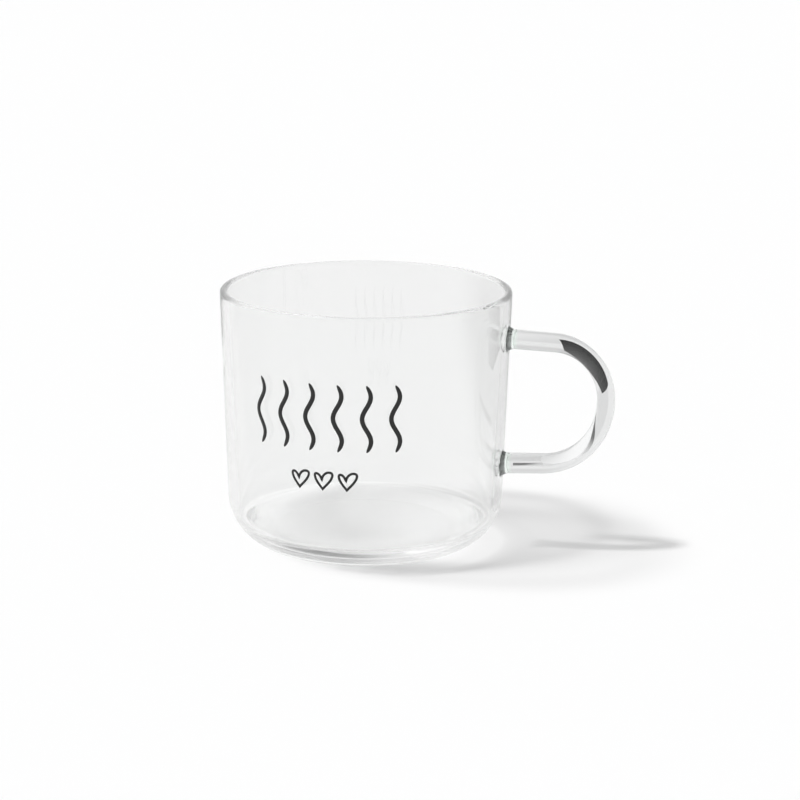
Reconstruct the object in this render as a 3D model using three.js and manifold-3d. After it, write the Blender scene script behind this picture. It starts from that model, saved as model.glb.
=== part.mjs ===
// A clear glass mug: a round cup with a gently tapered wall, a handle bent from a solid glass rod and
// fused on at two flared feet, and a small print of fired black enamel on the front.
// Millimetres, +Z up. The origin is the centre of the flat base and the handle points along +X.

import * as THREE from 'three';
import { mergeVertices } from 'three/addons/utils/BufferGeometryUtils.js';
import Module from 'manifold-3d';

// Cup
const RIM_DIAMETER = 90;
const CUP_HEIGHT = 80.5;
const WALL_TAPER_DEGREES = 2.04;
const WALL_THICKNESS = 2.4;
const WALL_GAIN_TO_BASE = 0.8;
const FLOOR_THICKNESS = 7.6;
const HEEL_RADIUS = 16;
const FLOOR_CORNER_RADIUS = 2;

// Handle: a round rod with two straight arms and a bend that is tighter at the top than at the bottom.
// Bending drew the rod out, so it is thinnest at the crest and thickest in the lower arm.
const UPPER_ARM_DIAMETER = 6;
const CREST_DIAMETER = 5.5;
const LOWER_ARM_DIAMETER = 6.4;
const HANDLE_REACH = 77.7;
const UPPER_ARM_BELOW_RIM = 13.75;
const ARM_SPACING = 39.3;
const UPPER_ARM_DROP_DEGREES = 2;
const LOWER_ARM_RISE_DEGREES = 2.7;
const CREST_BELOW_UPPER_ARM = 17.85;
const UPPER_BEND_WIDTH = 15.8;
const LOWER_BEND_WIDTH = 19;

// Feet: the flared gathers of glass that fuse the rod's ends to the wall
const FOOT_DIAMETER = 9;
const FOOT_LENGTH = 2.6;
const FOOT_EDGE = 0.5;
const FOOT_HOLLOW = 0.6;
const FUSED_JOINT_GAP = 0.3;

// Print: three outlined hearts in a row, and six wisps of steam above them, turned a little from the handle
const PRINT_TURN_DEGREES = 4.7;
const PRINT_THICKNESS = 0.2;
const PRINT_GAP = 0.1;
const HEART_WIDTH = 6.2;
const HEART_HEIGHT = 5.95;
const HEART_STROKE = 0.75;
const HEART_SPACING = 7.4;
const HEART_ROW_HEIGHT = 30.3;
const WISP_FOOT_HEIGHT = 39.4;
const WISP_SPACING = 8.7;
const WISP_STROKE = 1.4;
const WISP_SWING = 1.3;
const WISP_LENGTH = 20.6;
const WISP_WAVE_COUNT = 1.5;
const WISP_TIP_RATIO = 0.15;

// Fineness of the faceted surfaces
const CUP_SEGMENTS = 80;
const ARC_DIVISIONS = 6;
const FOOT_SEGMENTS = 32;
const ROD_CURVE_DIVISIONS = 12;
const ROD_STEPS = 44;
const HEART_CURVE_DIVISIONS = 7;
const STROKE_END_DIVISIONS = 4;
const WISP_STEPS = 26;

const RIM_RADIUS = RIM_DIAMETER / 2;
const FOOT_RADIUS = FOOT_DIAMETER / 2;
const TAPER = THREE.MathUtils.degToRad(WALL_TAPER_DEGREES);
const INNER_TAPER = TAPER + Math.atan(WALL_GAIN_TO_BASE / CUP_HEIGHT);
const UPPER_ARM_HEIGHT = CUP_HEIGHT - UPPER_ARM_BELOW_RIM;
const LOWER_ARM_HEIGHT = UPPER_ARM_HEIGHT - ARM_SPACING;

// How much of a square corner's width a cubic curve's handle takes to round it like an ellipse.
const QUARTER_ROUND_RATIO = 0.5523;

const wasm = await Module();
wasm.setup();

// Radius of the wall's outer face at a height above the base.
function outerRadius(height) {
  return RIM_RADIUS - (CUP_HEIGHT - height) * Math.tan(TAPER);
}

// A turned solid that stands on the +Z axis.
function turned(profile, segments) {
  return new THREE.LatheGeometry(profile, segments).rotateX(Math.PI / 2);
}

function solidFrom(geometry) {
  const bare = geometry.clone();
  bare.deleteAttribute('normal');
  bare.deleteAttribute('uv');
  const merged = mergeVertices(bare);
  return new wasm.Manifold(new wasm.Mesh({
    numProp: 3,
    vertProperties: new Float32Array(merged.attributes.position.array),
    triVerts: new Uint32Array(merged.index.array),
  }));
}

function geometryFrom(solid) {
  const mesh = solid.getMesh();
  const geometry = new THREE.BufferGeometry();
  geometry.setAttribute('position', new THREE.BufferAttribute(mesh.vertProperties, 3));
  geometry.setIndex(new THREE.BufferAttribute(mesh.triVerts, 1));
  geometry.computeVertexNormals();
  return geometry;
}

// The cup's section: flat base, round heel, tapered wall and fire-polished round rim, and inside a wall that
// leans a little more, so that the glass thickens downwards, and a tight corner to the flat floor.
function cupGeometry() {
  const lip = WALL_THICKNESS / 2;
  const rimCentreHeight = CUP_HEIGHT - lip;
  const rimCentre = outerRadius(rimCentreHeight) - lip / Math.cos(TAPER);
  const heelCentre = outerRadius(HEEL_RADIUS) - HEEL_RADIUS / Math.cos(TAPER);
  const innerTop = rimCentre - lip * Math.cos(INNER_TAPER);
  const innerTopHeight = rimCentreHeight + lip * Math.sin(INNER_TAPER);
  const cornerHeight = FLOOR_THICKNESS + FLOOR_CORNER_RADIUS;
  const innerAtCorner = innerTop - (innerTopHeight - cornerHeight) * Math.tan(INNER_TAPER);
  const cornerCentre = innerAtCorner - FLOOR_CORNER_RADIUS / Math.cos(INNER_TAPER);

  const section = new THREE.Path();
  section.moveTo(0, 0);
  section.lineTo(heelCentre, 0);
  section.absarc(heelCentre, HEEL_RADIUS, HEEL_RADIUS, -Math.PI / 2, -TAPER, false);
  section.absarc(rimCentre, rimCentreHeight, lip, -TAPER, Math.PI - INNER_TAPER, false);
  section.absarc(cornerCentre, cornerHeight, FLOOR_CORNER_RADIUS, -INNER_TAPER, -Math.PI / 2, true);
  section.lineTo(0, FLOOR_THICKNESS);
  return turned(section.getPoints(ARC_DIVISIONS), CUP_SEGMENTS);
}

// One arm of the handle where it meets the wall: a point on the outer face, a direction outwards and the
// rod's radius there.
function armAt(height, riseDegrees, diameter) {
  const rise = THREE.MathUtils.degToRad(riseDegrees);
  return {
    root: new THREE.Vector3(outerRadius(height), 0, height),
    direction: new THREE.Vector3(Math.cos(rise), 0, Math.sin(rise)),
    radius: diameter / 2,
  };
}

const upperArm = armAt(UPPER_ARM_HEIGHT, -UPPER_ARM_DROP_DEGREES, UPPER_ARM_DIAMETER);
const lowerArm = armAt(LOWER_ARM_HEIGHT, LOWER_ARM_RISE_DEGREES, LOWER_ARM_DIAMETER);

// The point of an arm's centreline at a distance from the cup's axis.
function armPointAtReach(arm, reach) {
  const distance = (reach - arm.root.x) / arm.direction.x;
  return arm.root.clone().addScaledVector(arm.direction, distance);
}

// The rod's centreline: out along the upper arm, round the crest and back along the lower arm.
function rodCentreline() {
  const crestReach = HANDLE_REACH - CREST_DIAMETER / 2;
  const crest = new THREE.Vector3(crestReach, 0, UPPER_ARM_HEIGHT - CREST_BELOW_UPPER_ARM);
  const seat = FOOT_LENGTH + FUSED_JOINT_GAP;
  const start = upperArm.root.clone().addScaledVector(upperArm.direction, seat);
  const end = lowerArm.root.clone().addScaledVector(lowerArm.direction, seat);
  const upperBend = armPointAtReach(upperArm, crest.x - UPPER_BEND_WIDTH);
  const lowerBend = armPointAtReach(lowerArm, crest.x - LOWER_BEND_WIDTH);
  const upperHandle = armPointAtReach(upperArm, upperBend.x + QUARTER_ROUND_RATIO * UPPER_BEND_WIDTH);
  const lowerHandle = armPointAtReach(lowerArm, lowerBend.x + QUARTER_ROUND_RATIO * LOWER_BEND_WIDTH);
  const aboveCrest = crest.clone().setZ(crest.z + QUARTER_ROUND_RATIO * (upperBend.z - crest.z));
  const belowCrest = crest.clone().setZ(crest.z - QUARTER_ROUND_RATIO * (crest.z - lowerBend.z));

  const path = new THREE.CurvePath();
  path.add(new THREE.LineCurve3(start, upperBend));
  path.add(new THREE.CubicBezierCurve3(upperBend, upperHandle, aboveCrest, crest));
  path.add(new THREE.CubicBezierCurve3(crest, belowCrest, lowerHandle, lowerBend));
  path.add(new THREE.LineCurve3(lowerBend, end));
  return path;
}

// The rod's radius at a share of its length, eased from the upper arm to the crest and on to the lower arm.
function rodRadius(share) {
  const arm = share < 0.5 ? upperArm : lowerArm;
  const towardsArm = THREE.MathUtils.smoothstep(Math.abs(2 * share - 1), 0, 1);
  return THREE.MathUtils.lerp(CREST_DIAMETER / 2, arm.radius, towardsArm);
}

// The rod: a slim round bar swept along the centreline, each ring of it then grown to the rod's radius.
function rodGeometry() {
  const centreline = rodCentreline();
  const rod = new THREE.ExtrudeGeometry(new THREE.Shape().absarc(0, 0, 1, 0, 2 * Math.PI, false), {
    steps: ROD_STEPS,
    curveSegments: ROD_CURVE_DIVISIONS,
    bevelEnabled: false,
    extrudePath: centreline,
  });
  const centres = centreline.getSpacedPoints(ROD_STEPS);
  const place = rod.attributes.position;
  const point = new THREE.Vector3();
  for (let i = 0; i < place.count; i += 1) {
    point.fromBufferAttribute(place, i);
    const gaps = centres.map((centre) => centre.distanceToSquared(point));
    const step = gaps.indexOf(Math.min(...gaps));
    const centre = centres[step];
    point.sub(centre).multiplyScalar(rodRadius(step / ROD_STEPS)).add(centre);
    place.setXYZ(i, point.x, point.y, point.z);
  }
  rod.computeVertexNormals();
  return rod;
}

// A foot: a hollow-sided flare round the arm's axis, cut to the wall's curve with a thin gap.
function footGeometry(arm) {
  const edge = FUSED_JOINT_GAP + FOOT_EDGE;
  const section = new THREE.Path();
  section.moveTo(0, -WALL_THICKNESS);
  section.lineTo(FOOT_RADIUS, -WALL_THICKNESS);
  section.lineTo(FOOT_RADIUS, edge);
  section.quadraticCurveTo(arm.radius, edge + FOOT_HOLLOW, arm.radius, FOOT_LENGTH);
  section.lineTo(0, FOOT_LENGTH);
  const upright = new THREE.Vector3(0, 0, 1);
  const flared = turned(section.getPoints(ARC_DIVISIONS), FOOT_SEGMENTS);
  flared.applyQuaternion(new THREE.Quaternion().setFromUnitVectors(upright, arm.direction));
  flared.translate(arm.root.x, arm.root.y, arm.root.z);

  const clear = FUSED_JOINT_GAP / Math.cos(TAPER);
  const wall = turned([
    new THREE.Vector2(0, 0),
    new THREE.Vector2(outerRadius(0) + clear, 0),
    new THREE.Vector2(outerRadius(CUP_HEIGHT) + clear, CUP_HEIGHT),
    new THREE.Vector2(0, CUP_HEIGHT),
  ], CUP_SEGMENTS);
  return geometryFrom(solidFrom(flared).subtract(solidFrom(wall)));
}

// Lays a flat print on the wall: its x runs round the cup to the right as seen from outside, its y is
// the height above the base and its z stands off the glass.
function wrappedOnWall(flat) {
  const centre = -Math.PI / 2 - THREE.MathUtils.degToRad(PRINT_TURN_DEGREES);
  const place = flat.attributes.position;
  for (let i = 0; i < place.count; i += 1) {
    const wall = outerRadius(place.getY(i));
    const angle = centre + place.getX(i) / wall;
    const radius = wall + PRINT_GAP + place.getZ(i);
    place.setXYZ(i, radius * Math.cos(angle), radius * Math.sin(angle), place.getY(i));
  }
  flat.computeVertexNormals();
  return flat;
}

// The middle of a heart's stroke, as shares of its width and height round its centre: from the notch over the
// small left lobe to the tip, and from the tip back over the large right lobe.
const HEART_LOBES = [
  [
    [[-0.1, 0.05], [-0.17, 0.25], [-0.28, 0.41], [-0.41, 0.41]],
    [[-0.41, 0.41], [-0.48, 0.41], [-0.52, 0.34], [-0.49, 0.22]],
    [[-0.49, 0.22], [-0.45, 0], [-0.28, -0.22], [-0.06, -0.5]],
  ],
  [
    [[-0.06, -0.5], [0.12, -0.28], [0.47, 0.02], [0.5, 0.34]],
    [[0.5, 0.34], [0.5, 0.46], [0.42, 0.5], [0.31, 0.5]],
    [[0.31, 0.5], [0.12, 0.5], [-0.08, 0.3], [-0.1, 0.05]],
  ],
];

// Points beside a line of curves, without its two ends: on its left for a positive distance.
function pointsBeside(curves, distance) {
  const points = curves.flatMap((curve) => {
    const shares = Array.from({ length: HEART_CURVE_DIVISIONS }, (_, i) => (i + 1) / HEART_CURVE_DIVISIONS);
    return shares.map((share) => {
      const along = curve.getTangent(share);
      return curve.getPoint(share).add(new THREE.Vector2(-along.y, along.x).multiplyScalar(distance));
    });
  });
  return points.slice(0, -1);
}

// A flat stroke with round ends along a line of curves.
function strokeSolid(curves) {
  const half = HEART_STROKE / 2;
  const start = curves[0].getPoint(0);
  const end = curves.at(-1).getPoint(1);
  const startAngle = curves[0].getTangent(0).angle();
  const endAngle = curves.at(-1).getTangent(1).angle();
  const outline = new THREE.Shape();
  outline.absarc(start.x, start.y, half, startAngle + Math.PI / 2, startAngle + 1.5 * Math.PI, false);
  pointsBeside(curves, -half).forEach((point) => outline.lineTo(point.x, point.y));
  outline.absarc(end.x, end.y, half, endAngle - Math.PI / 2, endAngle + Math.PI / 2, false);
  pointsBeside(curves, half).reverse().forEach((point) => outline.lineTo(point.x, point.y));
  return solidFrom(new THREE.ExtrudeGeometry(outline, {
    depth: PRINT_THICKNESS,
    bevelEnabled: false,
    curveSegments: STROKE_END_DIVISIONS,
  }));
}

// A heart: the strokes of its two lobes, joined at the notch and the tip.
function heartGeometry(place) {
  const width = HEART_WIDTH - HEART_STROKE;
  const height = HEART_HEIGHT - HEART_STROKE;
  const [left, right] = HEART_LOBES.map((lobe) => strokeSolid(lobe.map((corners) => {
    const [start, ...rest] = corners.map(([across, up]) => new THREE.Vector2(
      place * HEART_SPACING + across * width,
      HEART_ROW_HEIGHT + up * height,
    ));
    return new THREE.CubicBezierCurve(start, ...rest);
  })));
  return wrappedOnWall(geometryFrom(left.add(right)));
}

// A wisp: a slim upright box moved onto a wave, with its stroke drawn in towards both ends.
function wispGeometry(place) {
  const wave = 2 * Math.PI * WISP_WAVE_COUNT;
  const wisp = new THREE.BoxGeometry(WISP_STROKE, WISP_LENGTH, PRINT_THICKNESS, 1, WISP_STEPS, 1);
  const spot = wisp.attributes.position;
  for (let i = 0; i < spot.count; i += 1) {
    const share = spot.getY(i) / WISP_LENGTH + 0.5;
    const slope = (WISP_SWING * wave * Math.cos(wave * share)) / WISP_LENGTH;
    const across = new THREE.Vector2(1, -slope).normalize();
    const roundness = Math.sqrt(Math.max(0, 1 - (2 * share - 1) ** 8));
    const offset = spot.getX(i) * Math.max(WISP_TIP_RATIO, roundness);
    const x = place * WISP_SPACING + WISP_SWING * Math.sin(wave * share) + across.x * offset;
    const y = WISP_FOOT_HEIGHT + WISP_LENGTH * share + across.y * offset;
    spot.setXYZ(i, x, y, spot.getZ(i) + PRINT_THICKNESS / 2);
  }
  return wrappedOnWall(wisp);
}

const mug = new THREE.Group();

function addPiece(name, geometry, look) {
  const piece = new THREE.Mesh(geometry, new THREE.MeshStandardMaterial(look));
  piece.name = name;
  mug.add(piece);
}

const CLEAR_GLASS = { color: 0xeef4f1, roughness: 0.03, metalness: 0, transparent: true, opacity: 0.3 };
const WELD_GLASS = { color: 0xc3d6cc, roughness: 0.05, metalness: 0, transparent: true, opacity: 0.45 };
const BLACK_ENAMEL = { color: 0x101010, roughness: 0.4, metalness: 0 };

addPiece('cup_body', cupGeometry(), CLEAR_GLASS);
addPiece('handle_rod', rodGeometry(), CLEAR_GLASS);
addPiece('upper_handle_foot', footGeometry(upperArm), WELD_GLASS);
addPiece('lower_handle_foot', footGeometry(lowerArm), WELD_GLASS);

['left', 'middle', 'right'].forEach((side, index) => {
  addPiece(`heart_${side}`, heartGeometry(index - 1), BLACK_ENAMEL);
});

['first', 'second', 'third', 'fourth', 'fifth', 'sixth'].forEach((turn, index) => {
  addPiece(`steam_wisp_${turn}`, wispGeometry(index - 2.5), BLACK_ENAMEL);
});

export default mug;
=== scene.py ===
"""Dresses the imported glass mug: smooth clear glass, a bent rod handle and a black enamel print.

The cup stands on the origin with its axis along +Z, the handle points along +X and the print faces -Y.
Sizes are in metres, and those that the solids share are written as millimetres times MM.
"""

import logging
import math
from dataclasses import dataclass
from enum import Enum

import bmesh
import bpy
from bmesh.types import BMEdge, BMesh, BMVert
from bpy.types import Material, Node, NodeSocket, NodeTree, Object
from mathutils import Matrix, Vector
from mathutils.geometry import interpolate_bezier

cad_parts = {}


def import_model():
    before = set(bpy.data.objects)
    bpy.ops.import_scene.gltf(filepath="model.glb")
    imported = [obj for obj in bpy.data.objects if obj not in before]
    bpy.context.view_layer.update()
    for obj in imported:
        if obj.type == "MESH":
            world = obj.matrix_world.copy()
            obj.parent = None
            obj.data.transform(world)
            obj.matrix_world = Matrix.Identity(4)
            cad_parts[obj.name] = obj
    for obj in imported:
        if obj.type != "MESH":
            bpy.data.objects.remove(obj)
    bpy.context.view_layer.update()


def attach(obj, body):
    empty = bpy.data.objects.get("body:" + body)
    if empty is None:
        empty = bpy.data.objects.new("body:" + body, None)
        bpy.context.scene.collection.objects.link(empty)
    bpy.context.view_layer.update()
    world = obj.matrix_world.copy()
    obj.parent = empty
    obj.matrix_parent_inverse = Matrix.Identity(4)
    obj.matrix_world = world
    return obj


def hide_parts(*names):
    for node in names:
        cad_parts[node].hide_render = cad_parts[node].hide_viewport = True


LOG = logging.getLogger("glass_mug")

MM = 0.001
BODY = "root"
UP = Vector((0.0, 0.0, 1.0))
WHITE = (1.0, 1.0, 1.0, 1.0)
MERGE_DISTANCE = 0.0005 * MM
SLIDES_TO_WALL = 6


class ArmEnd(Enum):
    """The two ends of the handle, by the CAD node of the foot that fuses each to the wall."""

    UPPER = "upper_handle_foot"
    LOWER = "lower_handle_foot"


class HeartPlace(Enum):
    """Places in the row of hearts, in steps from its middle."""

    LEFT = -1
    MIDDLE = 0
    RIGHT = 1


class WispPlace(Enum):
    """Places in the row of steam wisps, in steps from its middle."""

    FIRST = -2.5
    SECOND = -1.5
    THIRD = -0.5
    FOURTH = 0.5
    FIFTH = 1.5
    SIXTH = 2.5


class Skin(Enum):
    """The two finishes of a glass piece, by their place in its list of materials."""

    FREE = 0
    FUSED = 1


class Slot(Enum):
    """The record's material slots."""

    CLEAR_GLASS = "clear_glass"
    WELD_GLASS = "weld_glass"
    BLACK_ENAMEL = "black_enamel"


def smoothed_object(name: str, bm: BMesh, *materials: Material) -> Object:
    """Turns a finished bmesh into a smooth-shaded object at the origin.

    Args:
        name: The piece's name.
        bm: The mesh, in the shared frame. It is freed here.
        materials: Its finishes, in the order of the faces' material numbers.

    Returns:
        The linked object.
    """
    bmesh.ops.remove_doubles(bm, verts=bm.verts[:], dist=MERGE_DISTANCE)
    bmesh.ops.recalc_face_normals(bm, faces=bm.faces[:])
    for face in bm.faces:
        face.smooth = True
    for edge in {edge for face in bm.faces if face.material_index for edge in face.edges}:
        edge.smooth = len({face.material_index for face in edge.link_faces}) == 1
    mesh = bpy.data.meshes.new(name)
    bm.to_mesh(mesh)
    bm.free()
    for material in materials:
        mesh.materials.append(material)
    piece = bpy.data.objects.new(name, mesh)
    bpy.context.scene.collection.objects.link(piece)
    return piece


def mug_piece(name: str, node: str, slot: Slot, bm: BMesh, *materials: Material) -> Object:
    """Makes a piece that rides on the mug and stands for a solid, and logs it.

    Args:
        name: The piece's name.
        node: The CAD node that it stands for.
        slot: The record's material slot of the piece; not used.
        bm: The mesh, in the shared frame. It is freed here.
        materials: Its finishes, in the order of the faces' material numbers.

    Returns:
        The finished piece.
    """
    piece = smoothed_object(name, bm, *materials)
    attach(piece, BODY)
    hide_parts(node)
    LOG.info("%s: %d faces, stands for %s", name, len(piece.data.polygons), node)
    return piece


class NodeSheet:
    """A shorthand for filling a material's or a world's node tree."""

    def __init__(self, tree: NodeTree) -> None:
        """Empties the tree.

        Args:
            tree: The node tree to fill.
        """
        self.tree = tree
        tree.nodes.clear()

    def add(self, kind: str, *ordered: object, settings: dict[str, object] | None = None,
            **named: object) -> Node:
        """Adds a node and sets its inputs, each to a plain value or to a link from an output socket.

        Args:
            kind: The node's type name.
            ordered: What its first inputs get, in their order.
            settings: Properties to set on the node.
            named: What inputs get by their names, where an underscore stands for a space.

        Returns:
            The new node.
        """
        node = self.tree.nodes.new(kind)
        for name, setting in (settings or {}).items():
            setattr(node, name, setting)
        sockets = [*node.inputs[:len(ordered)], *(node.inputs[name.replace("_", " ")] for name in named)]
        for socket, value in zip(sockets, (*ordered, *named.values())):
            if isinstance(value, NodeSocket):
                self.tree.links.new(value, socket)
            else:
                socket.default_value = value
        return node

    def math(self, operation: str, *operands: object, clamp: bool = False) -> NodeSocket:
        """Adds a Math node.

        Args:
            operation: The operation's name.
            operands: Numbers or output sockets.
            clamp: Whether the result stays between 0 and 1.

        Returns:
            The node's output socket.
        """
        settings = {"operation": operation, "use_clamp": clamp}
        return self.add("ShaderNodeMath", *operands, settings=settings).outputs[0]

    def blend(self, share: NodeSocket, first: object, second: object) -> NodeSocket:
        """Adds a mix of two levels.

        Args:
            share: How much of the second shows.
            first: A number or an output socket.
            second: A number or an output socket.

        Returns:
            The mixed level.
        """
        difference = self.math("SUBTRACT", second, first)
        return self.math("MULTIPLY_ADD", difference, share, first)

    def along(self, place: NodeSocket, axis: Vector) -> NodeSocket:
        """Gives how far along an axis of length 1 a place or a direction lies."""
        settings = {"operation": "DOT_PRODUCT"}
        return self.add("ShaderNodeVectorMath", place, axis, settings=settings).outputs["Value"]

    def distance(self, place: NodeSocket) -> NodeSocket:
        """Gives how far a place lies from the origin."""
        settings = {"operation": "LENGTH"}
        return self.add("ShaderNodeVectorMath", place, settings=settings).outputs["Value"]

    def ramp(self, value: NodeSocket, low: float, high: float, start: object, end: object) -> NodeSocket:
        """Adds a smooth step between two levels.

        Args:
            value: What drives the step.
            low: Where the step begins.
            high: Where it ends.
            start: The level before the step.
            end: The level after it.

        Returns:
            The stepped value.
        """
        settings = {"interpolation_type": "SMOOTHSTEP"}
        step = self.add("ShaderNodeMapRange", value, low, high, start, end, settings=settings)
        return step.outputs["Result"]

    def show(self, shader: Node, kind: str = "ShaderNodeOutputMaterial") -> None:
        """Makes a shader the tree's result, through an output node of the given kind."""
        self.add(kind, shader.outputs[0])


def fresh_material(name: str) -> tuple[Material, NodeSheet]:
    """Makes a material whose node tree is still empty.

    Args:
        name: The material's name.

    Returns:
        The material, and the sheet that fills its tree.
    """
    material = bpy.data.materials.new(name)
    material.use_nodes = True
    return material, NodeSheet(material.node_tree)


@dataclass(frozen=True)
class GlassFinish:
    """Clear fire-polished glass with a faint wave in its surface.

    Attributes:
        name: The material's name.
        tint: What one pass through a face leaves of each colour.
        wave_size: How many waves fit in a metre.
        wave_depth: The depth of the surface's wave.
        wave_detail: How many finer waves ride on it.
        wave_roughness: How strong these are.
        clear: What a lamp's light keeps where it meets a face squarely.
        edge_loss: How much less it keeps where it grazes a face.
        rim_loss: The same near the rim on the lit side and on the lee side, where less bent light fills the
            shadow.
        rim_side: The heights between which the one turns into the other.
        edge_power: How late that loss sets in.
        most_loss: The most that it can be.
        clear_foot: The heights between which both losses set in on the lit side, above the thick base that
            gathers the light.
        heel_top: The heights between which the heel runs out into the wall.
        lee: The way from the lit side to the other one, where the losses are full down to the base.
        lee_edge: How far along that way from the axis they begin to be, and how far they fully are.
        heel_loss: What the round heel takes besides on that side, where it bends the light under the base.
        heel_edge: How far from the axis that begins, and how far it is full.
        refraction: The glass's index of refraction.
    """

    name: str
    tint: tuple[float, float, float]
    wave_size: float = 55.0
    wave_depth: float = 0.004 * MM
    wave_detail: float = 1.0
    wave_roughness: float = 0.4
    clear: float = 0.985
    edge_loss: float = 0.68
    rim_loss: tuple[float, float] = (2.0, 2.6)
    rim_side: tuple[float, float] = (60.0 * MM, 74.0 * MM)
    edge_power: float = 2.5
    most_loss: float = 0.28
    clear_foot: tuple[float, float] = (15.0 * MM, 50.0 * MM)
    heel_top: tuple[float, float] = (12.0 * MM, 24.0 * MM)
    lee: tuple[float, float, float] = (0.97, 0.24, 0.0)
    lee_edge: tuple[float, float] = (-5.0 * MM, 25.0 * MM)
    heel_loss: float = 0.05
    heel_edge: tuple[float, float] = (30.0 * MM, 36.0 * MM)
    refraction: float = 1.47

    def lamp_share(self, sheet: NodeSheet, place: NodeSocket) -> NodeSocket:
        """Works out what a lamp's light keeps where it passes a face.

        Args:
            sheet: The material's nodes.
            place: The place on the glass.

        Returns:
            The share that it keeps.
        """
        facing = sheet.add("ShaderNodeLayerWeight").outputs["Facing"]
        edge = sheet.math("POWER", facing, self.edge_power)
        height = sheet.along(place, UP)
        on_lee = sheet.ramp(sheet.along(place, Vector(self.lee)), *self.lee_edge, 0.0, 1.0)
        near_rim = sheet.blend(on_lee, *self.rim_loss)
        share = sheet.ramp(height, *self.rim_side, self.edge_loss, near_rim)
        grazed = sheet.math("MINIMUM", sheet.math("MULTIPLY", edge, share), self.most_loss)
        loss = sheet.math("ADD", grazed, 1.0 - self.clear)
        above_foot = sheet.ramp(height, *self.clear_foot, 0.0, 1.0)
        set_in = sheet.math("MAXIMUM", above_foot, on_lee)
        on_heel = sheet.ramp(height, *self.heel_top, on_lee, 0.0)
        off_base = sheet.ramp(sheet.distance(place), *self.heel_edge, 0.0, self.heel_loss)
        in_all = sheet.math("MULTIPLY_ADD", on_heel, off_base, sheet.math("MULTIPLY", loss, set_in))
        return sheet.math("SUBTRACT", 1.0, in_all, clamp=True)

    def build(self) -> Material:
        """Makes the material.

        Returns:
            Glass for the eye, and a tinted film for the light of lamps.
        """
        material, sheet = fresh_material(self.name)
        place = sheet.add("ShaderNodeTexCoord").outputs["Object"]
        noise = sheet.add("ShaderNodeTexNoise", Vector=place, Scale=self.wave_size,
                          Detail=self.wave_detail, Roughness=self.wave_roughness)
        wave = sheet.add("ShaderNodeBump", Height=noise.outputs["Fac"], Distance=self.wave_depth,
                         Strength=1.0)
        glass = sheet.add("ShaderNodeBsdfPrincipled", Base_Color=(*self.tint, 1.0), Roughness=0.0,
                          IOR=self.refraction, Transmission_Weight=1.0, Normal=wave.outputs["Normal"])

        path = sheet.add("ShaderNodeLightPath").outputs
        kept = sheet.math("MAXIMUM", self.lamp_share(sheet, place), path["Is Diffuse Ray"])
        film = sheet.add("ShaderNodeBsdfTransparent", Color=kept)
        for_lamps = sheet.math("MAXIMUM", path["Is Shadow Ray"], path["Is Diffuse Ray"])
        sheet.show(sheet.add("ShaderNodeMixShader", for_lamps, glass.outputs[0], film.outputs[0]))
        return material


@dataclass(frozen=True)
class FusedFinish:
    """The inside of a fused joint, where glass runs on into glass and nothing shows."""

    name: str

    def build(self) -> Material:
        """Makes the material.

        Returns:
            A finish that lets all light straight through.
        """
        material, sheet = fresh_material(self.name)
        sheet.show(sheet.add("ShaderNodeBsdfPrincipled", Alpha=0.0, Roughness=0.0))
        return material


@dataclass(frozen=True)
class EnamelFinish:
    """Fired black enamel with the fine grain of a screen print.

    Attributes:
        name: The material's name.
        black: The dark and the less dark of its colour.
        grain_size: How many grains fit in a metre.
        grain_depth: How deep the grain is.
        grain_detail: How many finer grains ride on it.
        grain_strength: How much of that depth shows.
        grain_range: The levels of the grain between which colour and gloss change.
        gloss: The roughness of the dark and of the less dark.
    """

    name: str
    black: tuple[float, float] = (0.006, 0.014)
    grain_size: float = 5200.0
    grain_depth: float = 0.006 * MM
    grain_detail: float = 3.0
    grain_strength: float = 0.5
    grain_range: tuple[float, float] = (0.3, 0.7)
    gloss: tuple[float, float] = (0.38, 0.52)

    def build(self) -> Material:
        """Makes the material.

        Returns:
            A satin black with a mottled gloss.
        """
        material, sheet = fresh_material(self.name)
        place = sheet.add("ShaderNodeTexCoord").outputs["Object"]
        noise = sheet.add("ShaderNodeTexNoise", Vector=place, Scale=self.grain_size,
                          Detail=self.grain_detail)
        grain = noise.outputs["Fac"]
        colour = sheet.ramp(grain, *self.grain_range, *self.black)
        gloss = sheet.ramp(grain, *self.grain_range, *self.gloss)
        bump = sheet.add("ShaderNodeBump", Height=grain, Distance=self.grain_depth,
                         Strength=self.grain_strength)
        sheet.show(sheet.add("ShaderNodeBsdfPrincipled", Base_Color=colour, Roughness=gloss,
                             Normal=bump.outputs["Normal"]))
        return material


@dataclass(frozen=True)
class CupForm:
    """The section of the cup, and the wall that the handle and the print follow."""

    rim_radius: float = 45.0 * MM
    height: float = 80.5 * MM
    taper: float = math.radians(2.04)
    wall: float = 2.4 * MM
    wall_gain: float = 0.8 * MM
    floor: float = 7.6 * MM
    heel_radius: float = 16.0 * MM
    floor_corner: float = 2.0 * MM

    def outer_radius(self, height: float) -> float:
        """Gives the radius of the wall's outer face at a height."""
        return self.rim_radius - (self.height - height) * math.tan(self.taper)

    def on_wall(self, point: Vector, direction: Vector, stand_off: float) -> Vector:
        """Moves a point along a direction until it meets the wall's outer face.

        Args:
            point: Where it starts, near the wall.
            direction: The way it slides.
            stand_off: How far it stays off the face.

        Returns:
            The point on the wall.
        """
        found = point.copy()
        for _ in range(SLIDES_TO_WALL):
            radius = math.hypot(found.x, found.y)
            miss = radius - self.outer_radius(found.z) - stand_off
            slope = (found.x * direction.x + found.y * direction.y) / radius
            found -= direction * (miss / (slope - direction.z * math.tan(self.taper)))
        return found


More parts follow.
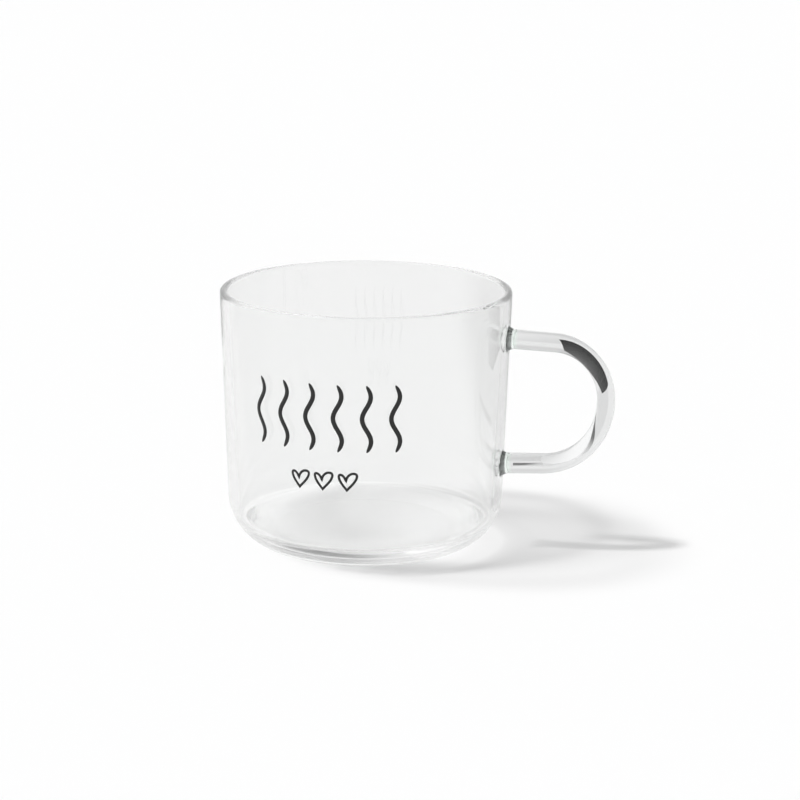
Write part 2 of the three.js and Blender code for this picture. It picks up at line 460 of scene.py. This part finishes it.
class SectionPen:
    """Draws a turned piece's section in the XZ plane, a stretch at a time."""

    def __init__(self, bm: BMesh, radius: float, height: float) -> None:
        """Sets the pen down.

        Args:
            bm: The mesh to draw in.
            radius: Distance from the axis.
            height: Height above the base.
        """
        self.bm = bm
        self.tip: BMVert = bm.verts.new((radius, 0.0, height))

    def line_to(self, radius: float, height: float, shares: tuple[float, ...] = (1.0,)) -> None:
        """Draws a straight stretch.

        Args:
            radius: Distance of its end from the axis.
            height: Height of its end.
            shares: Where along the stretch it has vertices.
        """
        start = self.tip.co.copy()
        end = Vector((radius, 0.0, height))
        for share in shares:
            self.tip = bmesh.ops.extrude_vert_indiv(self.bm, verts=[self.tip])["verts"][0]
            self.tip.co = start.lerp(end, share)

    def arc(self, radius: float, height: float, angle: float, steps: int) -> None:
        """Draws a round stretch.

        Args:
            radius: Distance of its centre from the axis.
            height: Height of its centre.
            angle: The turn, positive from +X towards +Z.
            steps: How many edges it has.
        """
        turn = bmesh.ops.spin(self.bm, geom=[self.tip], cent=(radius, 0.0, height), axis=(0.0, -1.0, 0.0),
                              angle=angle, steps=steps)
        self.tip = next(part for part in turn["geom_last"] if isinstance(part, BMVert))


@dataclass(frozen=True)
class Cup:
    """The cup: a solid flat base, a round heel, a tapered wall and a fire-polished rim.

    Attributes:
        form: The section's sizes.
        steps: How many steps go round the axis.
        heel_steps: How many edges round the heel and the floor's corner.
        rim_steps: How many edges round the rim.
        flat_shares: Where the base and the floor have rings, from the axis outwards.
        wall_shares: Where the inner wall has rings, from the rim downwards.
        outer_rings: How many rings the outer wall has.
    """

    form: CupForm
    steps: int = 512
    heel_steps: int = 28
    rim_steps: int = 20
    flat_shares: tuple[float, ...] = (0.1, 0.3, 0.5, 0.7, 0.85, 0.95, 0.99, 1.0)
    wall_shares: tuple[float, ...] = (0.005, 0.04, 0.15, 0.3, 0.5, 0.7, 0.85, 0.96, 0.995, 1.0)
    outer_rings: int = 48

    def draw_section(self, bm: BMesh) -> None:
        """Draws half the cup's section, from the base's centre over the rim to the floor's centre.

        Args:
            bm: The mesh to draw in.
        """
        form = self.form
        lip = form.wall / 2
        heel = form.outer_radius(form.heel_radius) - form.heel_radius / math.cos(form.taper)
        rim_height = form.height - lip
        rim = form.outer_radius(rim_height) - lip / math.cos(form.taper)
        lean = form.taper + math.atan(form.wall_gain / form.height)
        corner_height = form.floor + form.floor_corner
        fall = rim_height + lip * math.sin(lean) - corner_height
        corner = rim - lip * math.cos(lean) - fall * math.tan(lean) - form.floor_corner / math.cos(lean)
        outer_shares = tuple((ring + 1) / self.outer_rings for ring in range(self.outer_rings))
        floor_shares = tuple(1.0 - share for share in reversed(self.flat_shares[:-1])) + (1.0,)

        pen = SectionPen(bm, 0.0, 0.0)
        pen.line_to(heel, 0.0, self.flat_shares)
        pen.arc(heel, form.heel_radius, math.pi / 2 - form.taper, self.heel_steps)
        pen.line_to(rim + lip * math.cos(form.taper), rim_height - lip * math.sin(form.taper), outer_shares)
        pen.arc(rim, rim_height, math.pi - lean + form.taper, self.rim_steps)
        pen.line_to(corner + form.floor_corner * math.cos(lean),
                    corner_height - form.floor_corner * math.sin(lean), self.wall_shares)
        pen.arc(corner, corner_height, lean - math.pi / 2, self.heel_steps)
        pen.line_to(0.0, form.floor, floor_shares)

    def fuse(self, bm: BMesh, arm: "Arm", radius: float) -> None:
        """Marks a round patch of the outer wall as the inside of a fused joint.

        Args:
            bm: The cup's mesh.
            arm: The arm that is fused on there.
            radius: The patch's radius.
        """
        near = [face for face in bm.faces if (face.verts[0].co - arm.root).length < 2 * radius]
        patch = [face for face in near
                 if arm.off_axis(face.calc_center_median()) < radius
                 and abs(arm.along(face.calc_center_median())) < self.form.wall / 2]
        for face in patch:
            face.material_index = Skin.FUSED.value
        inside = set(patch)
        for vert in {vert for face in patch for vert in face.verts}:
            if not set(vert.link_faces) <= inside:
                foot = arm.at(arm.along(vert.co))
                spread = foot + (vert.co - foot).normalized() * radius
                vert.co = self.form.on_wall(spread, arm.direction, 0.0)

    def build(self, material: Material, fused: Material, handle: "Handle") -> Object:
        """Turns the section round the axis.

        Args:
            material: The cup's glass.
            fused: The finish inside the fused joints.
            handle: The handle that is fused to the wall.

        Returns:
            The cup.
        """
        bm = bmesh.new()
        self.draw_section(bm)
        bmesh.ops.spin(bm, geom=bm.verts[:] + bm.edges[:], cent=(0.0, 0.0, 0.0), axis=UP, angle=2 * math.pi,
                       steps=self.steps, use_merge=True)
        bmesh.ops.remove_doubles(bm, verts=bm.verts[:], dist=MERGE_DISTANCE)
        for end in ArmEnd:
            self.fuse(bm, handle.arm(end), handle.fused_radius)
        return mug_piece("glass_cup", "cup_body", Slot.CLEAR_GLASS, bm, material, fused)


@dataclass(frozen=True)
class Arm:
    """One arm of the handle where it meets the wall.

    Attributes:
        root: Where its centreline meets the wall's outer face.
        direction: The way that it points, away from the wall.
        radius: The rod's radius there.
    """

    root: Vector
    direction: Vector
    radius: float

    def at(self, distance: float) -> Vector:
        """Gives the point of the arm's centreline at a distance from the wall."""
        return self.root + self.direction * distance

    def at_reach(self, reach: float) -> Vector:
        """Gives the point of the arm's centreline at a distance from the cup's axis."""
        return self.at((reach - self.root.x) / self.direction.x)

    def along(self, point: Vector) -> float:
        """Gives how far out along the arm a point is."""
        return (point - self.root).dot(self.direction)

    def off_axis(self, point: Vector) -> float:
        """Gives a point's distance from the arm's centreline."""
        return (point - self.at(self.along(point))).length


@dataclass(frozen=True)
class Handle:
    """A round glass rod, bent to a D and fused to the wall at two flared feet."""

    form: CupForm
    upper_radius: float = 3.0 * MM
    crest_radius: float = 2.75 * MM
    lower_radius: float = 3.2 * MM
    reach: float = 77.7 * MM
    upper_arm_below_rim: float = 13.75 * MM
    arm_spacing: float = 39.3 * MM
    upper_drop: float = math.radians(2.0)
    lower_rise: float = math.radians(2.7)
    crest_below_upper_arm: float = 17.85 * MM
    upper_bend_width: float = 15.8 * MM
    lower_bend_width: float = 19.0 * MM
    quarter_round: float = 0.5523
    foot_radius: float = 4.5 * MM
    foot_length: float = 2.6 * MM
    fused_radius: float = 4.3 * MM
    fused_shares: tuple[float, ...] = (1.0, 0.66, 0.33)
    joint_gap: float = 0.005 * MM
    sides: int = 64
    arm_steps: int = 12
    bend_steps: int = 48
    foot_steps: int = 16

    def arm(self, end: ArmEnd) -> Arm:
        """Places one of the two arms.

        Args:
            end: Which end of the handle.

        Returns:
            The arm's root on the wall's outer face, its direction outwards and the rod's radius.
        """
        height = self.form.height - self.upper_arm_below_rim
        rise = -self.upper_drop
        radius = self.upper_radius
        if end is ArmEnd.LOWER:
            height -= self.arm_spacing
            rise = self.lower_rise
            radius = self.lower_radius
        return Arm(Vector((self.form.outer_radius(height), 0.0, height)),
                   Vector((math.cos(rise), 0.0, math.sin(rise))), radius)

    def rod_radius(self, share: float) -> float:
        """Gives the rod's radius, eased from the upper arm to the thin crest and on to the lower arm.

        Args:
            share: How far along the rod, 0 at its upper end and 1 at its lower end.

        Returns:
            The radius there.
        """
        arm_radius = self.upper_radius if share < 0.5 else self.lower_radius
        off_crest = abs(2.0 * share - 1.0)
        eased = off_crest * off_crest * (3.0 - 2.0 * off_crest)
        return self.crest_radius + (arm_radius - self.crest_radius) * eased

    def centreline(self) -> list[Vector]:
        """Gives the rod's centreline, from its upper end round the crest to its lower end."""
        upper, lower = self.arm(ArmEnd.UPPER), self.arm(ArmEnd.LOWER)
        seat = self.foot_length + self.joint_gap
        crest_height = upper.root.z - self.crest_below_upper_arm
        crest = Vector((self.reach - self.crest_radius, 0.0, crest_height))
        upper_bend = upper.at_reach(crest.x - self.upper_bend_width)
        lower_bend = lower.at_reach(crest.x - self.lower_bend_width)
        upper_pull = upper.at_reach(upper_bend.x + self.quarter_round * self.upper_bend_width)
        lower_pull = lower.at_reach(lower_bend.x + self.quarter_round * self.lower_bend_width)
        above = crest + UP * (self.quarter_round * (upper_bend.z - crest.z))
        below = crest - UP * (self.quarter_round * (crest.z - lower_bend.z))
        first = interpolate_bezier(upper_bend, upper_pull, above, crest, self.bend_steps)
        second = interpolate_bezier(crest, below, lower_pull, lower_bend, self.bend_steps)
        lead = [upper.at(seat).lerp(upper_bend, step / self.arm_steps) for step in range(self.arm_steps)]
        tail = [lower_bend.lerp(lower.at(seat), (step + 1) / self.arm_steps)
                for step in range(self.arm_steps)]
        return [*lead, *first, *second[1:], *tail]

    def ring(self, bm: BMesh, centre: Vector, direction: Vector, radius: float) -> list[BMEdge]:
        """Makes a ring square to a direction.

        Args:
            bm: The mesh to make it in.
            centre: The ring's centre.
            direction: The way that it faces.
            radius: Its radius.

        Returns:
            Its edges.
        """
        turn = UP.rotation_difference(direction).to_matrix().to_4x4()
        made = bmesh.ops.create_circle(bm, radius=radius, segments=self.sides,
                                       matrix=Matrix.Translation(centre) @ turn)
        return list({edge for vert in made["verts"] for edge in vert.link_edges})

    @staticmethod
    def extruded(bm: BMesh, edges: list[BMEdge]) -> tuple[list[BMEdge], list[BMVert]]:
        """Extrudes a ring in place.

        Args:
            bm: The mesh.
            edges: The ring's edges.

        Returns:
            The new ring's edges and vertices.
        """
        made = bmesh.ops.extrude_edge_only(bm, edges=edges)["geom"]
        verts = [part for part in made if isinstance(part, BMVert)]
        fresh = set(verts)
        rim = [part for part in made if isinstance(part, BMEdge) and set(part.verts) <= fresh]
        return rim, verts

    @staticmethod
    def close_fused(bm: BMesh, edges: list[BMEdge]) -> None:
        """Closes a ring with a face that is the inside of a fused joint.

        Args:
            bm: The mesh.
            edges: The ring's edges.
        """
        for face in bmesh.ops.edgeloop_fill(bm, edges=edges)["faces"]:
            face.material_index = Skin.FUSED.value

    def build_rod(self, material: Material, fused: Material) -> None:
        """Sweeps a ring along the centreline, growing and shrinking it with the rod's radius.

        Args:
            material: The rod's glass.
            fused: The finish of its two ends.
        """
        line = self.centreline()
        length = sum((after - before).length for before, after in zip(line, line[1:]))
        bm = bmesh.new()
        facing = (line[1] - line[0]).normalized()
        radius = self.rod_radius(0.0)
        edges = self.ring(bm, line[0], facing, radius)
        first_end = edges
        gone = 0.0
        for before, here, after in zip(line, line[1:], line[2:] + line[-1:]):
            edges, verts = self.extruded(bm, edges)
            leaving = (after - here).normalized() if after is not here else facing
            bisector = ((here - before).normalized() + leaving).normalized()
            gone += (here - before).length
            growth = self.rod_radius(gone / length) / radius
            bmesh.ops.translate(bm, verts=verts, vec=here - before)
            turn = facing.rotation_difference(bisector).to_matrix()
            bmesh.ops.rotate(bm, verts=verts, cent=here, matrix=turn)
            bmesh.ops.scale(bm, verts=verts, vec=(growth, growth, growth), space=Matrix.Translation(-here))
            facing = bisector
            radius *= growth
        self.close_fused(bm, first_end)
        self.close_fused(bm, edges)
        mug_piece("glass_handle", "handle_rod", Slot.CLEAR_GLASS, bm, material, fused)

    def flare(self, arm: Arm, share: float) -> tuple[float, float]:
        """Gives a foot's outline.

        Args:
            arm: The arm that it belongs to.
            share: 0 at the rod's end and 1 at the wall.

        Returns:
            The distance from the wall and the radius there.
        """
        angle = share * math.pi / 2
        radius = arm.radius + (self.foot_radius - arm.radius) * (1.0 - math.cos(angle))
        return self.foot_length * (1.0 - math.sin(angle)), radius

    def build_foot(self, end: ArmEnd, material: Material, fused: Material) -> None:
        """Flares a ring from the rod's end to the wall and closes it along the wall's curve.

        Args:
            end: Which end of the handle.
            material: The foot's glass.
            fused: The finish of its two joints.
        """
        arm = self.arm(end)
        bm = bmesh.new()
        edges = self.ring(bm, arm.at(self.foot_length), arm.direction, arm.radius)
        rod_end = edges
        shares = [step / self.foot_steps for step in range(1, self.foot_steps + 1)]
        outline = [(*self.flare(arm, share), share) for share in shares]
        outline += [(0.0, share * self.fused_radius, 1.0) for share in self.fused_shares]
        for distance, radius, settle in outline:
            edges, verts = self.extruded(bm, edges)
            for vert in verts:
                across = (vert.co - arm.at(arm.along(vert.co))).normalized() * radius
                level = arm.at(distance) + across
                seat = self.form.on_wall(level, arm.direction, self.joint_gap)
                vert.co = level + arm.direction * (settle * arm.along(seat))
            if distance == 0.0 and radius < self.fused_radius:
                for face in {face for edge in edges for face in edge.link_faces}:
                    face.material_index = Skin.FUSED.value
        self.close_fused(bm, rod_end)
        self.close_fused(bm, edges)
        mug_piece(f"glass_{end.value}", end.value, Slot.WELD_GLASS, bm, material, fused)


@dataclass(frozen=True)
class Print:
    """The enamel print: a row of outlined hearts below a row of steam wisps."""

    form: CupForm
    turn: float = math.radians(-4.7)
    thickness: float = 0.05 * MM
    stand_off: float = 0.012 * MM
    heart_width: float = 6.2 * MM
    heart_height: float = 5.95 * MM
    heart_stroke: float = 0.75 * MM
    heart_spacing: float = 7.4 * MM
    heart_row: float = 30.3 * MM
    wisp_foot: float = 39.4 * MM
    wisp_spacing: float = 8.7 * MM
    wisp_stroke: float = 1.4 * MM
    wisp_swing: float = 1.3 * MM
    wisp_length: float = 20.6 * MM
    wisp_waves: float = 1.5
    wisp_steps: int = 60
    heart_steps: int = 20
    wisp_tip: float = 0.15
    wisp_bluntness: int = 8
    mitre_limit: float = 0.5

    def ribbon(self, line: list[Vector], halves: list[float], closed: bool) -> BMesh:
        """Draws a flat stroke along a line by extruding a cross edge.

        Args:
            line: Points of the stroke's middle, across and up.
            halves: Half the stroke's width at each point.
            closed: Whether the line ends where it starts.

        Returns:
            The stroke as a film of faces.
        """
        if closed:
            padded = [line[-2], *line, line[1]]
        else:
            padded = [2 * line[0] - line[1], *line, 2 * line[-1] - line[-2]]
        bm = bmesh.new()
        ends = [bm.verts.new(), bm.verts.new()]
        bm.edges.new(ends)
        for index, (before, point, after, half) in enumerate(zip(padded, line, padded[2:], halves)):
            leaving = (after - point).normalized()
            along = ((point - before).normalized() + leaving).normalized()
            across = Vector((along.y, -along.x, 0.0)) * (half / max(along.dot(leaving), self.mitre_limit))
            if index:
                made = bmesh.ops.extrude_edge_only(bm, edges=[bm.edges.get(ends)])["geom"]
                fresh = [part for part in made if isinstance(part, BMVert)]
                ends = [next(vert for vert in fresh if bm.edges.get((vert, old))) for old in ends]
            ends[0].co, ends[1].co = point - across, point + across
        return bm

    def lay(self, node: str, bm: BMesh, material: Material) -> None:
        """Gives a flat stroke its thickness and lays it on the wall.

        Args:
            node: The mark's CAD node.
            bm: The flat stroke, across and up.
            material: Its enamel.
        """
        bmesh.ops.remove_doubles(bm, verts=bm.verts[:], dist=MERGE_DISTANCE)
        made = bmesh.ops.extrude_face_region(bm, geom=bm.faces[:], use_keep_orig=True)["geom"]
        raised = [part for part in made if isinstance(part, BMVert)]
        bmesh.ops.translate(bm, verts=raised, vec=UP * self.thickness)
        middle = self.turn - math.pi / 2
        for vert in bm.verts:
            across, height, off = vert.co
            wall = self.form.outer_radius(height)
            angle = middle + across / wall
            radius = wall + self.stand_off + off
            vert.co = (radius * math.cos(angle), radius * math.sin(angle), height)
        mug_piece(f"printed_{node}", node, Slot.BLACK_ENAMEL, bm, material)

    def heart_line(self, place: HeartPlace) -> list[Vector]:
        """Gives the middle of a heart's stroke, from the notch over the left lobe and back.

        Args:
            place: Which heart of the row.

        Returns:
            The closed line's points.
        """
        width = self.heart_width - self.heart_stroke
        height = self.heart_height - self.heart_stroke

        def spot(across: float, up: float) -> Vector:
            """Gives a point by its shares of the heart's width and height."""
            return Vector((place.value * self.heart_spacing + across * width,
                           self.heart_row + up * height, 0.0))

        curves = (
            ((-0.1, 0.05), (-0.17, 0.25), (-0.28, 0.41), (-0.41, 0.41)),
            ((-0.41, 0.41), (-0.48, 0.41), (-0.52, 0.34), (-0.49, 0.22)),
            ((-0.49, 0.22), (-0.45, 0.0), (-0.28, -0.22), (-0.06, -0.5)),
            ((-0.06, -0.5), (0.12, -0.28), (0.47, 0.02), (0.5, 0.34)),
            ((0.5, 0.34), (0.5, 0.46), (0.42, 0.5), (0.31, 0.5)),
            ((0.31, 0.5), (0.12, 0.5), (-0.08, 0.3), (-0.1, 0.05)),
        )
        line: list[Vector] = []
        for corners in curves:
            points = interpolate_bezier(*(spot(*corner) for corner in corners), self.heart_steps)
            line += points if not line else points[1:]
        return line

    def build_heart(self, place: HeartPlace, material: Material) -> None:
        """Prints one heart.

        Args:
            place: Which heart of the row.
            material: Its enamel.
        """
        line = self.heart_line(place)
        bm = self.ribbon(line, [self.heart_stroke / 2] * len(line), closed=True)
        self.lay(f"heart_{place.name.lower()}", bm, material)

    def build_wisp(self, place: WispPlace, material: Material) -> None:
        """Prints one wisp of steam, an upright wave with a blunt tip at each end.

        Args:
            place: Which wisp of the row.
            material: Its enamel.
        """
        line, halves = [], []
        for step in range(self.wisp_steps + 1):
            share = step / self.wisp_steps
            swing = self.wisp_swing * math.sin(2 * math.pi * self.wisp_waves * share)
            rise = self.wisp_foot + self.wisp_length * share
            line.append(Vector((place.value * self.wisp_spacing + swing, rise, 0.0)))
            roundness = math.sqrt(1.0 - (2 * share - 1.0) ** self.wisp_bluntness)
            halves.append(self.wisp_stroke / 2 * max(self.wisp_tip, roundness))
        bm = self.ribbon(line, halves, closed=False)
        self.lay(f"steam_wisp_{place.name.lower()}", bm, material)


def heading(elevation: float, azimuth: float) -> Vector:
    """Gives the direction of a place in the room as seen from the mug.

    Args:
        elevation: How high it stands, in degrees.
        azimuth: The side that it stands on, in degrees from +X towards +Y.

    Returns:
        A direction of length 1.
    """
    height, side = math.radians(elevation), math.radians(azimuth)
    return Vector((math.cos(height) * math.cos(side), math.cos(height) * math.sin(side), math.sin(height)))


@dataclass(frozen=True)
class Lamp:
    """One soft lamp, far off, whose own bright disc the glass doesn't show.

    Attributes:
        name: The lamp's name.
        elevation: How high it stands, in degrees.
        azimuth: The side that it stands on, in degrees from +X towards +Y.
        angle: How wide it looks from the mug, in degrees.
        strength: Its strength.
        cup_only: Whether the cup alone casts its shadow, as light that the wall has bent aside does.
    """

    name: str
    elevation: float
    azimuth: float
    angle: float
    strength: float
    cup_only: bool = False

    def build(self, cup: Object) -> None:
        """Hangs the lamp.

        Args:
            cup: The cup whose shadow it casts.
        """
        light = bpy.data.lights.new(self.name, "SUN")
        light.energy = self.strength
        light.angle = math.radians(self.angle)
        lamp = bpy.data.objects.new(self.name, light)
        lamp.rotation_euler = heading(self.elevation, self.azimuth).to_track_quat("Z", "Y").to_euler()
        lamp.visible_glossy = False
        lamp.visible_transmission = False
        if self.cup_only:
            blockers = bpy.data.collections.new(f"{self.name}_blockers")
            blockers.objects.link(cup)
            lamp.light_linking.blocker_collection = blockers
        bpy.context.scene.collection.objects.link(lamp)


@dataclass(frozen=True)
class Card:
    """A glowing card behind the handle, which only the light through the glass meets: a dark card paints
    shade into what the handle shows, and a pale card paints a highlight there.

    Attributes:
        name: The card's name.
        outline: Its corners, across and up, in millimetres.
        shades: Its shade at its lower left and at its upper right.
        grade: Between which distances along the rising diagonal it turns from the first to the second.
        depth: How far behind the handle it hangs.
    """

    name: str
    outline: tuple[tuple[float, float], ...]
    shades: tuple[float, float]
    grade: tuple[float, float] = (79.0 * MM, 100.0 * MM)
    depth: float = 20.0 * MM

    def build(self) -> None:
        """Hangs the card where only rays through the glass meet it."""
        material, sheet = fresh_material(self.name)
        place = sheet.add("ShaderNodeTexCoord").outputs["Object"]
        outward = sheet.along(place, Vector((1.0, 0.0, 1.0)).normalized())
        shade = sheet.ramp(outward, *self.grade, *self.shades)
        sheet.show(sheet.add("ShaderNodeEmission", Color=WHITE, Strength=shade))
        bm = bmesh.new()
        corners = [bm.verts.new((across * MM, self.depth, up * MM)) for across, up in self.outline]
        bmesh.ops.contextual_create(bm, geom=corners)
        card = smoothed_object(self.name, bm, material)
        card.visible_camera = False
        card.visible_diffuse = False
        card.visible_glossy = False
        card.visible_shadow = False


@dataclass(frozen=True)
class Floor:
    """The pale floor, which the glass sees a little darker than the eye, with painted shade that makes it
    darkest behind the handle and a painted pool of light under the cup.

    Attributes:
        side: The length of its sides.
        white: How pale it is.
        gap: How far it lies below the base.
        patch: What the glass sees of its paleness behind the handle, where it carries painted shade.
        patch_side: How far right of the axis that patch begins and is full.
        patch_near: How far behind the axis it begins and is full.
        patch_far: How far behind the axis it begins to end and ends.
        painted_light_pool_edge: How far from the axis the painted pool of light under the cup, where the
            glass sees the full paleness, begins to end and ends.
    """

    side: float = 6.0
    white: float = 0.9
    gap: float = 0.1 * MM
    patch: float = 0.86
    patch_side: tuple[float, float] = (45.0 * MM, 70.0 * MM)
    patch_near: tuple[float, float] = (20.0 * MM, 100.0 * MM)
    patch_far: tuple[float, float] = (300.0 * MM, 500.0 * MM)
    painted_light_pool_edge: tuple[float, float] = (56.0 * MM, 60.0 * MM)

    def build(self, ground_axes: tuple[Vector, Vector], room_level: float) -> None:
        """Lays the floor.

        Args:
            ground_axes: The camera's rightward and away directions along the ground.
            room_level: The brightness of the room that the glass sees round it.
        """
        material, sheet = fresh_material("studio_floor")
        path = sheet.add("ShaderNodeLightPath").outputs
        place = sheet.add("ShaderNodeTexCoord").outputs["Object"]
        right, away = (sheet.along(place, axis) for axis in ground_axes)
        # Painted shade: behind the handle the glass sees the floor darker.
        off_side = sheet.ramp(right, *self.patch_side, 0.0, 1.0)
        off_near = sheet.ramp(away, *self.patch_near, 0.0, 1.0)
        on_far = sheet.ramp(away, *self.patch_far, 1.0, 0.0)
        in_patch = sheet.math("MULTIPLY", sheet.math("MULTIPLY", off_side, off_near), on_far)
        dim_white = self.white * room_level
        dimmed = sheet.blend(in_patch, dim_white, dim_white * self.patch)
        # Painted light: under the cup the glass sees the floor at full paleness, a pool of light that
        # stands in for the light the thick base gathers there.
        seen = sheet.ramp(sheet.distance(place), *self.painted_light_pool_edge, self.white, dimmed)
        level = sheet.blend(path["Is Glossy Ray"], self.white, seen)
        sheet.show(sheet.add("ShaderNodeBsdfDiffuse", Color=level))
        bm = bmesh.new()
        bmesh.ops.create_grid(bm, x_segments=2, y_segments=2, size=self.side / 2)
        bmesh.ops.translate(bm, verts=bm.verts[:], vec=-UP * self.gap)
        floor = smoothed_object("studio_floor", bm, material)


@dataclass(frozen=True)
class RoomPart:
    """A part of the room that the glass sees brighter or darker than the rest.

    Attributes:
        level: Its brightness.
        elevation: How high its middle lies, in degrees.
        azimuth: The side that its middle lies on, in degrees from +X towards +Y.
        spread: The cosines of the angles from its middle between which it sets in.
    """

    level: float
    elevation: float
    azimuth: float
    spread: tuple[float, float]

    def over(self, sheet: NodeSheet, direction: NodeSocket, rest: object) -> NodeSocket:
        """Lays the part over the rest of the room.

        Args:
            sheet: The world's nodes.
            direction: The direction looked in.
            rest: The brightness of the rest, a number or an output socket.

        Returns:
            The brightness with the part in it.
        """
        nearness = sheet.along(direction, heading(self.elevation, self.azimuth))
        return sheet.ramp(nearness, *self.spread, rest, self.level)


@dataclass(frozen=True)
class Room:
    """The surroundings: white for the eye, a studio for the glass and a soft fill for the rest.

    Attributes:
        fill: The soft fill.
        level: The brightness near the horizon, as the glass sees it.
        horizon: The sines of the elevations between which it turns into the upper brightness.
        upper_level: The brightness above.
        left: The brighter left side.
        soft_box: The bright soft box.
        dark_side: The dark upper side.
    """

    fill: float = 0.25
    level: float = 0.9
    horizon: tuple[float, float] = (0.06, 0.3)
    upper_level: float = 0.66
    left: RoomPart = RoomPart(0.95, 20.0, 165.0, (0.3, 0.85))
    soft_box: RoomPart = RoomPart(1.25, 57.0, 200.0, (0.95, 0.98))
    dark_side: RoomPart = RoomPart(0.28, 58.0, 40.0, (0.74, 0.95))

    def build(self) -> None:
        """Makes the world."""
        world = bpy.data.worlds.new("studio_world")
        bpy.context.scene.world = world
        world.use_nodes = True
        sheet = NodeSheet(world.node_tree)
        path = sheet.add("ShaderNodeLightPath").outputs
        direction = sheet.add("ShaderNodeTexCoord").outputs["Generated"]
        sides = self.left.over(sheet, direction, self.upper_level)
        upper = self.soft_box.over(sheet, direction, sides)
        room = sheet.ramp(sheet.along(direction, UP), *self.horizon, self.level, upper)
        shaded = self.dark_side.over(sheet, direction, room)
        level = sheet.blend(path["Is Glossy Ray"], self.fill, shaded)
        seen = sheet.math("MAXIMUM", level, path["Is Camera Ray"])
        background = sheet.add("ShaderNodeBackground", Color=WHITE, Strength=seen)
        sheet.show(background, "ShaderNodeOutputWorld")


@dataclass(frozen=True)
class Portrait:
    """The camera, which stands where the photograph was taken from.

    Angles are in radians. The eye is turned round the mug by the azimuth, and the aim lies right of
    the axis.
    """

    azimuth: float = math.radians(12.0)
    eye_distance: float = 900.0 * MM
    eye_height: float = 263.88 * MM
    aim_across: float = 10.63 * MM
    aim_height: float = 45.05 * MM
    roll: float = 0.00741
    focal_pixels: float = 2986.8
    picture_side: int = 800
    sensor_width: float = 36.0
    nearest: float = 10.0 * MM

    def ground_axes(self) -> tuple[Vector, Vector]:
        """Gives the camera's rightward and away directions along the ground."""
        right = Vector((math.cos(self.azimuth), math.sin(self.azimuth), 0.0))
        return right, UP.cross(right)

    def build(self) -> None:
        """Sets the camera up."""
        turn = Matrix.Rotation(self.azimuth, 3, "Z")
        eye = turn @ Vector((0.0, -self.eye_distance, self.eye_height))
        aim = turn @ Vector((self.aim_across, 0.0, self.aim_height))
        lens = bpy.data.cameras.new("portrait_camera")
        lens.sensor_width = self.sensor_width
        lens.lens = self.focal_pixels / self.picture_side * self.sensor_width
        lens.clip_start = self.nearest
        camera = bpy.data.objects.new("portrait_camera", lens)
        facing = (aim - eye).to_track_quat("-Z", "Y").to_matrix()
        leaning = facing @ Matrix.Rotation(self.roll, 3, "Z")
        camera.matrix_world = Matrix.Translation(eye) @ leaning.to_4x4()
        bpy.context.scene.collection.objects.link(camera)
        bpy.context.scene.camera = camera


@dataclass(frozen=True)
class Studio:
    """The whole set round the mug, and how often light may bounce or bend and pass clear faces in it."""

    floor: Floor = Floor()
    room: Room = Room()
    portrait: Portrait = Portrait()
    lamps: tuple[Lamp, ...] = (
        Lamp("key_light", 64.0, 217.0, 6.0, 1.25),
        Lamp("near_light", 58.5, 208.0, 8.0, 0.75, cup_only=True),
        Lamp("side_light", 57.0, 184.0, 10.0, 1.1, cup_only=True),
    )
    # Painted shade and a painted highlight in the handle: the dark card paints its dark patch, the two
    # strips paint dark lines along its lower arm and lower bend, and the pale card paints a white core
    # along its lower arm.
    cards: tuple[Card, ...] = (
        Card("painted_shade_card", ((56.3, 57.3), (66.5, 47.6), (77.0, 47.6), (84.0, 62.0), (84.0, 72.0),
                           (72.0, 74.0), (61.5, 70.0)), (0.0, 0.1)),
        Card("near_painted_shade_strip", ((43.6, 22.2), (53.0, 22.2), (53.0, 24.8), (43.6, 24.8)), (0.2, 0.7),
             (49.5 * MM, 54.0 * MM)),
        Card("far_painted_shade_strip", ((62.0, 30.0), (100.0, 30.0), (100.0, 32.4), (62.0, 32.4)), (0.7, 0.15),
             (66.0 * MM, 72.5 * MM)),
        Card("painted_highlight_card", ((52.0, 8.0), (90.0, 8.0), (90.0, 29.0), (62.0, 29.0), (52.0, 21.0)),
             (0.78, 1.06), (46.0 * MM, 64.0 * MM), 21.0 * MM),
    )
    bounces: int = 96
    clear_passes: int = 32

    def build(self, cup: Object) -> None:
        """Builds the set.

        Args:
            cup: The cup that stands in it.
        """
        scene = bpy.context.scene
        scene.view_settings.view_transform = "Standard"
        scene.cycles.max_bounces = self.bounces
        scene.cycles.transmission_bounces = self.bounces
        scene.cycles.glossy_bounces = self.bounces
        scene.cycles.transparent_max_bounces = self.clear_passes
        self.floor.build(self.portrait.ground_axes(), self.room.level)
        for card in self.cards:
            card.build()
        self.room.build()
        for lamp in self.lamps:
            lamp.build(cup)
        self.portrait.build()


def main() -> None:
    """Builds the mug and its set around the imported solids."""
    logging.basicConfig(level=logging.INFO, format="%(name)s: %(message)s")
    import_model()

    glass = GlassFinish("clear_glass", tint=(0.994, 0.997, 0.995)).build()
    # A darker copy of the clear glass for the rod: its grey tint is painted shade for the dimmer room
    # behind the handle, and its lower clear deepens the handle's shadow.
    rod = GlassFinish("painted_shade_rod_glass", tint=(0.9, 0.905, 0.905), clear=0.5).build()
    weld = GlassFinish("weld_glass", tint=(0.88, 0.955, 0.91), clear=0.45).build()
    fused = FusedFinish("fused_joint").build()
    enamel = EnamelFinish("black_enamel").build()

    form = CupForm()
    handle = Handle(form)
    cup = Cup(form).build(glass, fused, handle)
    handle.build_rod(rod, fused)
    for end in ArmEnd:
        handle.build_foot(end, weld, fused)
    print_marks = Print(form)
    for place in HeartPlace:
        print_marks.build_heart(place, enamel)
    for place in WispPlace:
        print_marks.build_wisp(place, enamel)
    Studio().build(cup)


if __name__ == "__main__":
    main()
